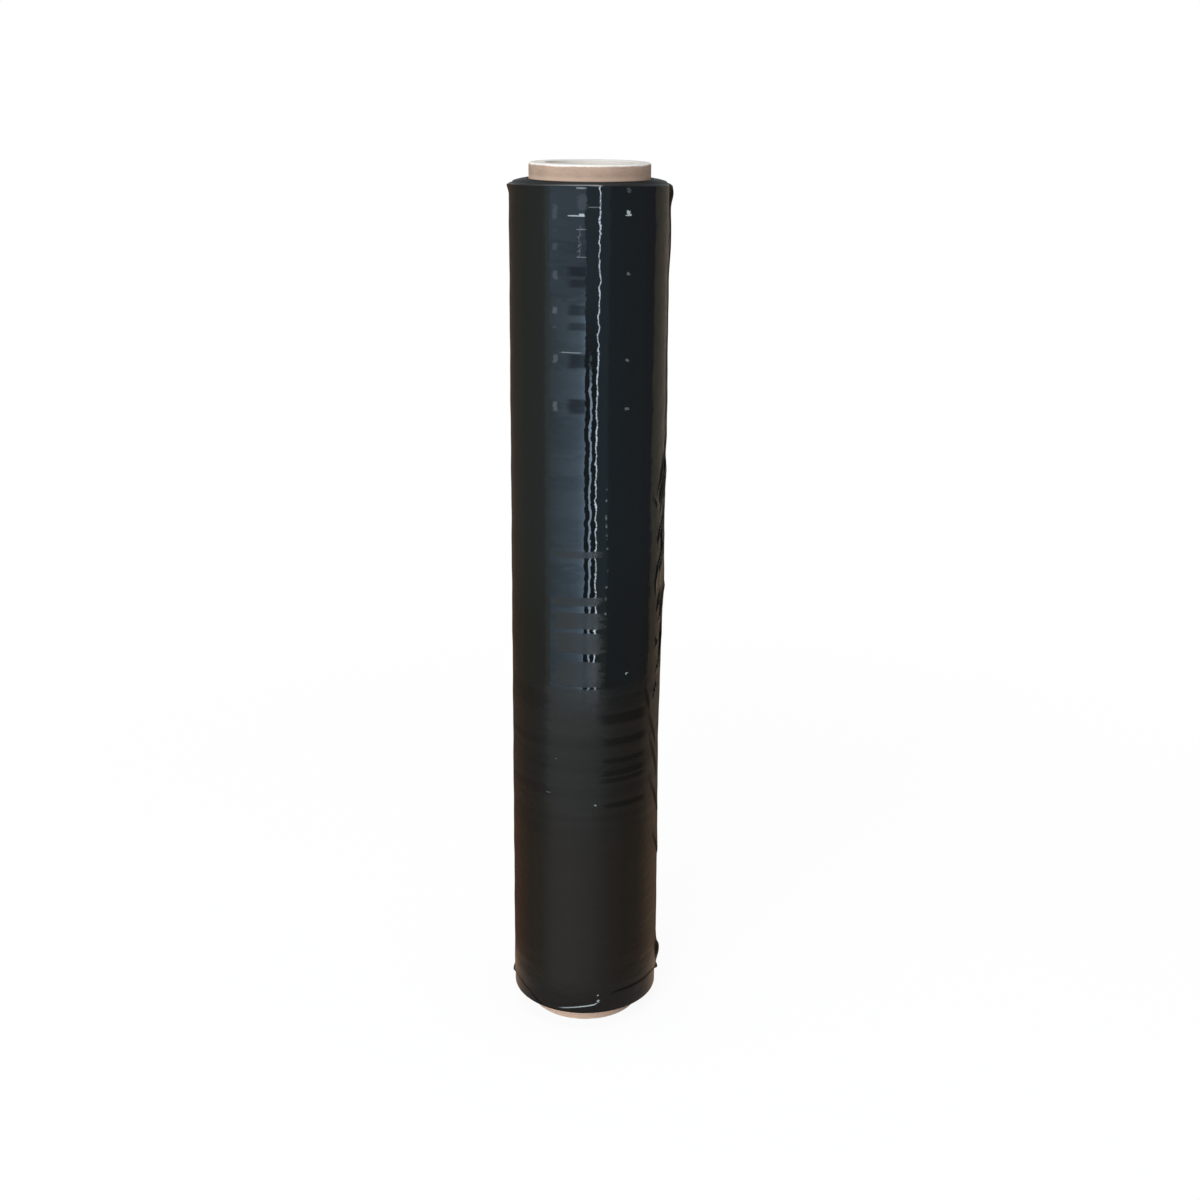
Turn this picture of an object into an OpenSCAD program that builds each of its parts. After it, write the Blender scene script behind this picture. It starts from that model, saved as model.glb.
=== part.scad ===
// Hand roll of black stretch wrap, standing on its end: film wound on a paperboard core.
// The origin is in the middle of the core's lower end, on the floor, with +Z up the roll.
// Angles run round the roll from its front (-Y), with +X at 90 degrees.

/* [Core] */
// Bore of the core, which takes the plugs of a hand dispenser
core_bore_d = 50; // [36:1:60]
// Wall of the core, wound from plies of board
core_wall = 8.8; // [4:0.2:14]
// Bare length of core above the film
core_bare_top = 8.5; // [3:0.5:30]
// Bare length of core below the film
core_bare_low = 10; // [3:0.5:30]
// Rounding of the outer edge at each cut end of the core
core_edge_r = 1.2; // [0.3:0.1:1.4]

/* [Film] */
// Width of the film, which is the length of the turns next to the core
film_w = 500; // [300:10:600]
// Thickness of all the turns together, from the first to the last
film_build = 10.9; // [6:0.1:20]
// Slack between the core and the first turn
wind_gap = 0.1; // [0.05:0.05:0.3]
// How far the outer turns lie below the inner ones at the upper end
top_drop = 3; // [1:0.5:5]
// Share of that drop which is missing at the front, where the turns stand highest
front_rise = 0.75; // [0:0.05:0.8]
// How far the outer turns lie above the inner ones at the lower end
low_drop = 1.5; // [0.5:0.5:4]
// Rounding of the outer turns at the upper end
top_corner_r = 1.6; // [0.5:0.1:2.4]
// Rounding of the outer turns at the lower end
low_corner_r = 0.8; // [0.3:0.1:1]

/* [Turns] */
// Rings of staggered turns that show on each end of the film
ring_count = 5; // [3:1:8]
// How far each ring stands out beyond the turns beside it
ring_relief = 0.4; // [0.1:0.05:0.6]

/* [Last turn] */
// How far the last turn stands off the turns below it
wrap_step = 0.5; // [0.2:0.1:1]
// Height to which the last turn's lower edge has crept up at the sides
wrap_lift = 14; // [10:1:18]
// How far the edge of the last turn curls out
lip_curl = 0.35; // [0.1:0.05:0.8]
// Height of that curl
lip_h = 3; // [1.5:0.5:5]
// How far the ears of the last turn stick out at its sides
ear_out = 1.2; // [0.3:0.1:2]

/* [Bands] */
// Depth of the shallow bands that the winding leaves round the film
band_depth = 0.16; // [0.05:0.01:0.4]
// Distance between those bands
band_pitch = 46; // [25:1:80]

/* [Loose tail] */
// Angle round the roll at which the loose tail of the film is bunched
tail_angle = 86; // [70:1:100]
// Height of the bunched tail over the last turn
tail_h = 0.7; // [0.3:0.1:1.5]
// Half the width of the bunched tail, in degrees round the roll
tail_half_w = 7; // [5:1:10]
// How far the tail wanders to each side, in degrees round the roll
tail_sway = 3; // [1:0.5:5]
// Height of the puffed fold near each end of the tail
puff_h = 2.5; // [0.5:0.1:3]
// Height of the small creases that run out of the tail
crease_h = 0.45; // [0.1:0.05:0.8]
// Depth of the waist that the tail pulls into the film's side below the middle
waist_depth = 0.9; // [0:0.1:1.5]

/* [Hidden] */

round_fn = 96;
edge_fn = 32;
core_in_r = core_bore_d / 2;
core_out_r = core_in_r + core_wall;
core_len = core_bare_low + film_w + core_bare_top;
film_in_r = core_out_r + wind_gap;
film_out_r = film_in_r + film_build;
under_r = film_out_r - wrap_step;

// The blank of the film reaches inside its bore, and is flat there for the bore to be cut through
blank_in_r = 0.9 * film_in_r;
land_r = film_in_r + 0.4;

// The film is swept through one section for each column, closer together round the tail, and
// with one at the ear on the left
left_ear_angle = -87;
coarse_step = 6;
fine_step = 2;
fine_from = 54;
fine_to = 114;
columns = concat(
    [for (a = [-180 : coarse_step : left_ear_angle]) a],
    [left_ear_angle],
    [for (a = [left_ear_angle + coarse_step / 2 : coarse_step : fine_from - 1]) a],
    [for (a = [fine_from : fine_step : fine_to]) a],
    [for (a = [fine_to + coarse_step : coarse_step : 179]) a]);

// Rows up the outside of the film, closer together near its ends
row_count = 35;
rows_from = low_drop + wrap_lift + lip_h + 3;
rows_to = film_w - top_drop - 2 * top_corner_r;

// Lower edge of the last turn, as angle and share of its lift: low at the front, torn down
// to the film's end on the left, and crept up at both sides and the back
edge_outline = [
    [-180, 0.80], [-120, 0.72], [-87, 0.66], [-70, 0.68], [-52, 0.50], [-43, 0.31],
    [-39, 0.16], [-22, 0.17], [-4, 0.34], [7, 0.43], [12, 0.56], [19, 0.90],
    [27, 1.00], [66, 1.00], [87, 0.88], [120, 0.92], [180, 0.80]];
edge_tuck = 0.4;
ear_half_w = 7;
left_ear_share = 0.8;

// Puffed folds of the tail, by their distance from each end of the film
low_puff_at = 24;
top_puff_at = 8;
puff_half_h = 10;
top_puff_share = 0.55;

// Height of the tail up the roll, as share of the film's width and share of tail_h
tail_outline = [
    [0, 0.3], [0.07, 0.3], [0.12, 0.1], [0.25, 0.1], [0.40, 0.2], [0.48, 0.3],
    [0.535, 1.4], [0.57, 0.7], [0.64, 0.4], [0.67, 1.0], [0.71, 0.9], [0.78, 0.4],
    [0.85, 0.1], [0.90, 0.3], [0.93, 1.2], [0.96, 0.5], [1, 0.3]];

// Waist in the side under the tail, with its half width in degrees round the roll
waist_at = 0.33 * film_w;
waist_half_h = 50;
waist_half_w = 26;

// Small creases crushed together beside the tail at mid height
crush_at = 0.55 * film_w;
crush_half_h = 60;
crush_angles = [-24, -15, -8, 9];
crush_half_w = 2.5;
crush_pitch = 55;

// Long creases that sweep down from the front into the tail, as shares of the film's width
arc_tops = [0.42, 0.37, 0.31, 0.23];
arc_len = 34;
arc_swing = 26;
arc_half_w = 4;

function bump(x, at, half_w) = exp(-pow((x - at) / half_w, 2));

function wave(x, pitch, shift) = sin(360 * (x + shift) / pitch);

// Shallow bands round the film, from three waves that never fall in step
function band(z) = band_depth * (0.5 * wave(z, band_pitch, 0)
    + 0.3 * wave(z, 0.43 * band_pitch, 5) + 0.2 * wave(z, 2.7 * band_pitch, 20));

// Path of the bunched tail up the roll, and its height over the last turn
function tail_path(z) = tail_angle + tail_sway * wave(z, 0.34 * film_w, 30);

function puffs(z) = puff_h * (
    bump(z, low_puff_at, puff_half_h)
    + top_puff_share * bump(z, film_w - top_puff_at, puff_half_h));

function tail_fold(a, z) = bump(a, tail_path(z), tail_half_w / 2)
    * (tail_h * lookup(z / film_w, tail_outline) + puffs(z));

function waist(a, z) = waist_depth * bump(z, waist_at, waist_half_h) * bump(a, tail_angle, waist_half_w);

function crush(a, z) = bump(z, crush_at, crush_half_h) * crease_h * max([
    for (i = [0 : len(crush_angles) - 1])
        let (wander = 2 * wave(z, crush_pitch, 17 * i))
            bump(a, tail_path(z) + crush_angles[i] + wander, crush_half_w)]);

function arc_fold(a, z) = crease_h * max([
    for (top = arc_tops)
        let (t = (top * film_w - z) / arc_len)
            t < 0 || t > 1 ? 0 : sin(180 * t) * bump(a, tail_angle - arc_swing * (1 - t), arc_half_w)]);

function fold(a, z) = tail_fold(a, z) + max(crush(a, z), arc_fold(a, z)) - waist(a, z);

function ear(a) = ear_out * (
    left_ear_share * bump(a, left_ear_angle, ear_half_w) + bump(a, tail_angle, ear_half_w));

// Drop of the outer turns at the upper end, least at the front
function upper_drop(a) = top_drop * (1 - front_rise * pow((1 + cos(a)) / 2, 2));

// Height lost at an end of the film, from its first turn out to a radius
function dome(r, drop) = drop * pow((r - film_in_r) / (film_out_r - film_in_r), 2);

// Rings of staggered turns on an end face, as radius and depth from the film's first turn
function end_rings(drop, corner_r) =
    let (pitch = (under_r - corner_r - land_r) / (ring_count + 0.5))
        [for (i = [1 : ring_count], deep = [1, 0])
            let (r = land_r + pitch * (i - 0.6 * deep))
                [r, dome(r, drop) + ring_relief * deep]];

function row_z(k) =
    let (t = k / row_count, eased = (t + (1 - cos(180 * t)) / 2) / 2)
        rows_from + (rows_to - rows_from) * eased;

function lower_end() = concat(
    [[blank_in_r, 0], [land_r, 0]],
    end_rings(low_drop, low_corner_r),
    [
        [under_r - low_corner_r, low_drop],
        [under_r - 0.3 * low_corner_r, low_drop + 0.3 * low_corner_r],
        [under_r, low_drop + low_corner_r]]);

// Lower edge of the last turn: tucked in to the turns below, then the curled lip
function lip_side(a) =
    let (z = low_drop + wrap_lift * lookup(a, edge_outline), r = film_out_r + tail_fold(a, z))
        [
            [under_r, z - edge_tuck],
            [r + lip_curl + ear(a), z],
            [r + 0.4 * (lip_curl + ear(a)), z + lip_h / 2],
            [r, z + lip_h]];

function wrap_side(a) = [
    for (k = [0 : row_count])
        let (z = row_z(k))
            [film_out_r + band(z) + fold(a, z), z]];

function upper_corner(a) =
    let (z = film_w - upper_drop(a), left_ear = ear_out * bump(a, left_ear_angle, ear_half_w))
        [
            [film_out_r + left_ear + 0.8 * tail_fold(a, z), z - top_corner_r],
            [film_out_r - 0.3 * top_corner_r + 0.5 * tail_fold(a, z), z - 0.3 * top_corner_r],
            [film_out_r - top_corner_r, z]];

function upper_end(a) =
    let (rings = end_rings(upper_drop(a), top_corner_r))
        concat(
            [for (i = [len(rings) - 1 : -1 : 0]) [rings[i][0], film_w - rings[i][1]]],
            [[land_r, film_w], [blank_in_r, film_w]]);

// One section of the film, from its bore out under the lower end, up the side and back in on top
function section(a) = concat(lower_end(), lip_side(a), wrap_side(a), upper_corner(a), upper_end(a));

module film_blank() {
    sections = [for (a = columns) section(a)];
    n = len(columns);
    m = len(sections[0]);
    points = [
        for (i = [0 : n - 1], p = sections[i])
            [p[0] * sin(columns[i]), -p[0] * cos(columns[i]), p[1]]];
    faces = [
        for (i = [0 : n - 1], j = [0 : m - 1])
            let (here = i * m, next = ((i + 1) % n) * m, up = (j + 1) % m)
                each [[here + j, here + up, next + up], [here + j, next + up, next + j]]];
    polyhedron(points, faces, convexity = 6);
}

module film() {
    color([0.05, 0.055, 0.06])
    translate([0, 0, core_bare_low])
    difference() {
        film_blank();
        translate([0, 0, -1]) cylinder(h = film_w + 2, r = film_in_r, $fn = round_fn);
    }
}

module core_section() {
    flat_r = core_out_r - core_edge_r;
    translate([core_in_r, 0]) square([flat_r - core_in_r, core_len]);
    translate([core_in_r, core_edge_r]) square([core_wall, core_len - 2 * core_edge_r]);
    for (z = [core_edge_r, core_len - core_edge_r])
        translate([flat_r, z]) circle(r = core_edge_r, $fn = edge_fn);
}

module core() {
    color([0.74, 0.62, 0.49])
    rotate_extrude($fn = round_fn) core_section();
}

core();
film();
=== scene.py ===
"""Looks of a hand roll of glossy black stretch film on a paperboard core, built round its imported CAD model.

Lengths are in metres, or in mm where a comment says so. Angles run round the roll in degrees, from
its front (-Y), with +X at 90 degrees.
"""

import math
from functools import cached_property

import bmesh
import bpy
import numpy as np
from mathutils import Matrix, Vector, noise


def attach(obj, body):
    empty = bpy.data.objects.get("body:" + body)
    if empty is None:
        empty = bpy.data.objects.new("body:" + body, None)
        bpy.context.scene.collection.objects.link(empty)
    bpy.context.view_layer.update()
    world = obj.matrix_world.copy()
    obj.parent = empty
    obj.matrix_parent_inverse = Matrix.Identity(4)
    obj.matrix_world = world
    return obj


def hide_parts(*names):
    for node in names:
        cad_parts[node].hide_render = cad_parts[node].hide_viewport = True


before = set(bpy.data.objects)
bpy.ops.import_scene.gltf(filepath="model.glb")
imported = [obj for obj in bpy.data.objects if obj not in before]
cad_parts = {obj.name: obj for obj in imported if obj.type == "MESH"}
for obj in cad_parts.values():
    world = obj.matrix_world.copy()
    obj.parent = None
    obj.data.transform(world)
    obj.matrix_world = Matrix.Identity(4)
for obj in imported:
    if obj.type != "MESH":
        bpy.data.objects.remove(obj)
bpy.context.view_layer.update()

bl_info = {
    "name": "Stretch wrap roll",
    "version": (1, 0, 0),
    "blender": (4, 5, 0),
    "location": "3D View > Sidebar > Wrap roll",
    "description": "Makes the film, the paperboard core and the studio of a roll of stretch wrap",
    "category": "Object",
}

MM = 0.001
ROLL_BODY = "root"


# Sizes and colours

def sized(name, description, millimetres):
    return bpy.props.FloatProperty(
        name=name, description=description, default=millimetres * MM, subtype="DISTANCE", unit="LENGTH")


def angled(name, description, degrees):
    return bpy.props.FloatProperty(
        name=name, description=description, default=math.radians(degrees), subtype="ANGLE", unit="ROTATION")


def coloured(name, description, colour):
    return bpy.props.FloatVectorProperty(
        name=name, description=description, default=colour, subtype="COLOR", size=3, min=0, max=1)


class CoreSettings(bpy.types.PropertyGroup):
    bore_radius: sized("Bore radius", "Radius of the core's bore", 25)
    wall: sized("Wall", "Wall of the core, wound from plies of board", 8.8)
    length: sized("Length", "Length of the core from cut end to cut end", 518.5)
    edge_radius: sized("Outer edge", "Rounding of the outer edge at each cut end", 1.2)
    kraft: coloured("Kraft", "Colour of the board's outer ply", (0.39, 0.27, 0.205))
    cut: coloured("Cut edge", "Colour of the worn, whitish cut edges", (0.80, 0.77, 0.73))


class FilmSettings(bpy.types.PropertyGroup):
    foot: sized("Foot", "Height of the film's lower end above the floor", 10)
    width: sized("Film width", "Width of the film, which is the length of its inner turns", 500)
    inner_radius: sized("First turn", "Radius of the first turn", 33.9)
    outer_radius: sized("Last turn", "Radius of the last turn", 44.8)
    wrap_step: sized("Last turn's step", "How far the last turn stands off the turns below it", 0.25)
    top_drop: sized("Upper drop", "How far the outer turns lie below the inner ones at the upper end", 3)
    front_rise: bpy.props.FloatProperty(
        name="Front rise", description="Share of the upper drop that is missing at the front",
        default=1.0, min=0, max=1)
    core_gap: sized("Gap at the core", "How far the first turns lie below the others at the ends", 1.2)
    low_drop: sized(
        "Lower drop", "How far the outer turns lie above the inner ones at the lower end", 1.2)
    top_corner: sized("Upper corner", "Rounding of the outer turns at the upper end", 1.6)
    low_corner: sized("Lower corner", "Rounding of the outer turns at the lower end", 0.5)
    wrap_lift: sized(
        "Crept edge", "Height to which the last turn's lower edge has crept up at the sides", 14)
    lip_curl: sized("Lip curl", "How far the edge of the last turn curls out", 0.2)
    lip_height: sized("Lip height", "Height of that curl", 1.6)
    ear_out: sized("Ears", "How far the ears of the last turn stick out at its sides", 1.15)
    band_depth: sized("Bands", "Depth of the shallow bands that the winding leaves round the film", 0.16)
    tail_angle: angled("Tail", "Angle round the roll at which the loose tail is bunched", 86)
    tail_height: sized(
        "Tail height", "Height of the bunched tail over the last turn, for each mm of its outline", 1)
    puff_height: sized("Puffs", "Height of the tail's puffed folds, for each mm of their outline", 1)
    crease_height: sized("Creases", "Height of the folds and creases that run out of the tail", 1.1)
    waist: sized("Waist", "Depth of the waist that the tail pulls into the side", 0.9)
    columns: bpy.props.IntProperty(
        name="Columns", description="Columns of faces round the film", default=360, min=120, max=420)
    black: coloured("Black", "Colour of the film", (0.003, 0.0031, 0.0033))
    veil: coloured("Veil", "Colour of the haze on film that is not drawn tight", (0.027, 0.0265, 0.025))
    # Colour painted into the film as highlights and glints: on the curled lip, on fold crests and in small
    # spots
    whitened: coloured(
        "Whitened film", "Colour of the film where it is overstretched", (0.34, 0.38, 0.40))


class StudioSettings(bpy.types.PropertyGroup):
    lens: bpy.props.FloatProperty(
        name="Lens", description="Focal length of the camera in mm", default=49.01, unit="CAMERA")
    distance: sized(
        "Camera distance", "Distance of the camera from the roll's axis along the floor", 929.26)
    height: sized("Camera height", "Height of the camera above the floor", 562.79)
    pitch: angled("Pitch", "How far the camera looks down", 17.734)
    yaw: angled("Yaw", "How far the camera turns to its right", 0.471)
    roll: angled("Roll", "How far the camera leans about its own axis", -0.495)
    floor: coloured("Floor", "Colour of the floor and backdrop", (0.90, 0.90, 0.90))
    window: coloured("Soft light", "Colour of the large soft light", (0.90, 0.97, 1.0))


# Meshes

MERGE_DISTANCE = 0.001 * MM


def lay_out(mesh, name):
    """Puts a finished bmesh in the scene as an object."""
    data = bpy.data.meshes.new(name)
    mesh.to_mesh(data)
    mesh.free()
    thing = bpy.data.objects.new(name, data)
    bpy.context.scene.collection.objects.link(thing)
    return thing


def arc(radius, height, size, turns):
    """Points of an arc in a section: its centre, its own radius, and angles from outwards to upwards."""
    swings = [math.radians(turn) for turn in turns]
    return [(radius + size * math.cos(swing), height + size * math.sin(swing)) for swing in swings]


def spun_ring(name, outline, columns):
    """A closed outline of (radius, height) points, spun once round the Z axis."""
    mesh = bmesh.new()
    corners = [mesh.verts.new((radius, 0.0, height)) for radius, height in outline]
    for here, there in zip(corners, corners[1:] + corners[:1]):
        mesh.edges.new((here, there))
    bmesh.ops.spin(
        mesh, geom=mesh.verts[:] + mesh.edges[:], cent=(0, 0, 0), axis=(0, 0, 1),
        angle=math.tau, steps=columns, use_merge=True)
    bmesh.ops.remove_doubles(mesh, verts=mesh.verts[:], dist=MERGE_DISTANCE)
    bmesh.ops.recalc_face_normals(mesh, faces=mesh.faces[:])
    return lay_out(mesh, name)


def places(data):
    """The vertices of a mesh as rows of x, y and z."""
    flat = np.empty(len(data.vertices) * 3)
    data.vertices.foreach_get("co", flat)
    return flat.reshape(-1, 3)


def round_places(radius, angle, height):
    """Vertex places from radius, angle and height."""
    turn = np.radians(angle)
    return np.column_stack((radius * np.sin(turn), -radius * np.cos(turn), height))


def smooth_shade(data, sharp_angle):
    """Smooth shading, with the edges sharper than an angle left crisp."""
    data.shade_smooth()
    data.set_sharp_from_angle(angle=math.radians(sharp_angle))


# Film

# Lower edge of the last turn, as angle and share of its lift: low at the front, torn down
# to the film's end on the left, and crept up at both sides and the back
EDGE = (
    (-180, 0.80), (-120, 0.72), (-100, 0.60), (-87, 0.46), (-76, 0.66), (-70, 0.68), (-52, 0.50),
    (-43, 0.31), (-39, 0.16), (-22, 0.17), (-4, 0.34), (7, 0.43), (12, 0.56), (19, 0.90),
    (27, 1.00), (66, 1.00), (73, 0.94), (87, 0.61), (100, 0.80), (120, 0.92), (180, 0.80))

# The edge first stands even, at a share of its lift. Its underside and its outer corner lie below
# it, and the rows of the side part between them. A highlight and shade are painted at these
# heights over and about it, and the rows above it settle back over the last one.
EVEN_LIP = 0.6
LIP_UNDERSIDE = 0.4 * MM
LIP_CORNER = 0.22 * MM
LIP_SPLIT = 0.3 * MM
LIP_HIGHLIGHT = 0.4 * MM
LIP_SHADE = (-1.1 * MM, 0.1 * MM)
LIP_SETTLES = 60 * MM
TINY = 0.01 * MM

# The front of the edge curls out and has a highlight painted on it: where that starts, is full from
# and to, and ends
CURL = (-22, -16, 8, 11)
# Angles over which the highlight painted on the curl brightens
CURL_HIGHLIGHT_SPAN = (-22, 7)
CURL_OUT = 0.13 * MM

# Where shade is painted below the edge, to the left and to the right of the front
DARK_LEFT = (34, 38)
DARK_RIGHT = (17, 28)

# The tail sways to and fro once in a share of the film's width. The ears, the waist and the front
# rise fade out over these half turns and heights.
TAIL_HALF_TURN = 3.5
TAIL_SWAY = 3
TAIL_SWAY_PITCH = 0.34
EAR_HALF_TURN = 7
LEFT_EAR_ANGLE = -87
LEFT_EAR_SHARE = 0.8
LEFT_EAR_HEIGHT = 6 * MM
WAIST_HEIGHTS = (165 * MM, 50 * MM)
WAIST_HALF_TURN = 26
RISE_HEIGHT = 70 * MM

# Waves of the winding's bands: share, pitch and shift in mm
BANDS = ((0.5, 46, 0), (0.3, 19.78, 5), (0.2, 124.2, 20))

# Staggered turns of the ends: their number and relief, where they begin beyond the first turns,
# and each one's outline as shares of its pitch and relief
RING_COUNT = 8
RING_RELIEF = 0.30 * MM
FIRST_TURNS = 0.8 * MM
RINGS_FROM = 1.1 * MM
RING_OUTLINE = ((0.30, 0.0), (0.45, 1.0), (0.92, 0.25))

# Height of the bunched tail over the last turn, by height above the film's lower end, in mm, and
# of the puffed folds near its ends
TAIL = (
    (0, 0.2), (35, 0.2), (60, 0.1), (240, 0.0), (252, 0.2), (268, 1.1), (285, 0.5), (320, 0.3),
    (336, 0.8), (345, 0.25), (356, 0.7), (390, 0.35), (425, 0.05), (450, 0.2), (464, 0.9),
    (480, 0.35), (500, 0.2))
PUFFS = (
    (7, 0.0), (14, 0.6), (18, 1.6), (21, 2.1), (24, 2.25), (26, 2.0), (28, 0.9), (30, 0.5),
    (36, 0.0), (484, 0.0), (488, 0.7), (490, 1.3), (492, 1.4), (496, 0.7), (499, 0.0))

# Folds of the loose film, each from its upper to its lower end: angle, and height above the
# floor in mm. Crumples lie beside the tail, and sweeps run down into it from the front.
CRUMPLES = (
    ((83, 372), (79, 360), (77, 350), (75, 341), (70, 330), (68, 322)),
    ((82, 262), (77, 255), (75, 246), (73, 236), (68, 228)),
    ((84, 363), (74, 356), (70, 350), (66, 343), (62, 336)),
    ((88, 332), (80, 328), (75, 321), (71, 313), (73, 304), (71, 296), (68, 287)),
    ((84, 352), (75, 347), (70, 340), (67, 334), (65, 328)),
    ((56, 335), (60, 332), (63, 328)),
    ((76, 321), (72, 318), (68, 314), (65, 310), (64, 305)),
    ((79, 311), (74, 304), (70, 298), (64, 292), (61, 283), (63, 275)),
    ((78, 303), (71, 295), (68, 288)),
    ((85, 280), (80, 274), (75, 268), (72, 261), (66, 257)),
    ((72, 278), (67, 271), (64, 264)),
    ((60, 250), (66, 247), (63, 243)),
    ((76, 237), (70, 231), (65, 226)),
    ((70, 221), (64, 216), (61, 211)))
SWEEPS = (
    ((50, 220), (54, 212), (57, 206)),
    ((54, 205), (60, 196), (66, 186), (71, 176)),
    ((57, 189), (63, 179), (69, 168), (75, 156)),
    ((57, 162), (64, 153), (72, 143), (82, 130)),
    ((65, 123), (74, 112), (85, 101)))

# Both kinds of folds: their lines, their share of the height of a crease, the half turn of their
# steep face, the turn over which they fall again, and how much highlight is painted on their crests
FOLDS = ((CRUMPLES, 1.0, 0.6, 2.2, 1.0), (SWEEPS, 0.8, 0.9, 4.5, 0.0))
# Strength of the highlight painted on the fold crests
CREST_HIGHLIGHT = 0.35

# Across a fold, in half turns of its face: its foot, where shade is painted, its crest, where a
# highlight is painted, and half the width of both
FOLD_FOOT = -0.6
FOLD_CREST = 2.4
FOLD_LINE = 0.8

# Groove along the front of the tail, in the same way as a fold, and how much shade is painted
# in it by height above the floor in mm
SEAM = ((79, 503), (82, 491), (83, 477), (80, 450), (82, 427), (79, 405), (82, 385), (80, 368))
SEAM_DEPTH = 0.6 * MM
SEAM_HALF_TURN = 1.2
SEAM_START = 20 * MM
SEAM_SHADE = ((368, 0.0), (380, 1.0), (418, 1.0), (428, 0.2), (460, 0.2), (468, 1.0), (500, 1.0), (503, 0.8))

# Heights above the floor of the two pockets in the tail's puffs where shade is painted, and half
# their height, in mm
POCKETS_AT = (501, 33)
POCKET_HALF_HEIGHT = 7
POCKET_HALF_TURN = 1.4 * TAIL_HALF_TURN
POCKET_BEFORE_TAIL = 2
POCKET_SHADE = 0.9

# Loose film: how far before the tail and over what half turn it lies, about one height and all along
LOOSE_HEART = (12, 14)
LOOSE_HEART_HEIGHTS = (300 * MM, 55 * MM)
LOOSE_REST = (8, 16)
LOOSE_REST_SHARE = 0.35
LEAST_LOOSE = 0.05
CRINKLE_HEIGHT = 0.125 * MM
CRINKLE_TURN = 7
CRINKLE_LENGTH = 11 * MM

# Rows up the side are closer together where the film is folded: lower limit and row height in mm
ROW_HEIGHTS = ((0, 1.8), (45, 5.0), (85, 2.8), (225, 1.6), (362, 4.5), (470, 2.0))

# Columns are closer together beside the tail: evenly spun angles, and where they end up
COLUMN_TURNS = ((-180, -180), (-51, 50), (49, 94), (180, 180))

# Faces within this height of an end show the edges of the turns, where they lie flat or further in
END_HEIGHT = 6 * MM
END_FLATNESS = 0.75
FILM_SHARP_ANGLE = 38


def bump(value, at, half_width):
    return np.exp(-(((value - at) / half_width) ** 2))


def wave(value, pitch, shift):
    return np.sin(math.tau * (value + shift) / pitch)


def eased(value, low, high):
    """0 below low, 1 above high, and a smooth step between."""
    share = np.clip((value - low) / (high - low), 0, 1)
    return share * share * (3 - 2 * share)


def read_off(value, points):
    """A value read off a line through points."""
    return np.interp(value, *zip(*points))


def upwards(line):
    """Heights in metres and angles of a line's points, from its lower end up."""
    angles, heights = zip(*reversed(line))
    return [height * MM for height in heights], angles


def lapped(a, z, line, rise, fade):
    """Film lapped over along a line, with a steep face towards the front and a slow fall behind it:
    its height, and the shade and highlight painted at the foot of its steep face and on its crest."""
    heights, angles = upwards(line)
    past = a - np.interp(z, heights, angles)
    along = np.clip((z - heights[0]) / (heights[-1] - heights[0]), 0, 1)
    swell = np.sin(math.pi * along) ** 0.6
    height = swell * eased(past, -rise, rise) * np.exp(-np.maximum(past, 0) / fade)
    foot_shade, crest = (swell * bump(past, at * rise, FOLD_LINE * rise) for at in (FOLD_FOOT, FOLD_CREST))
    return height, foot_shade, crest


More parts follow.
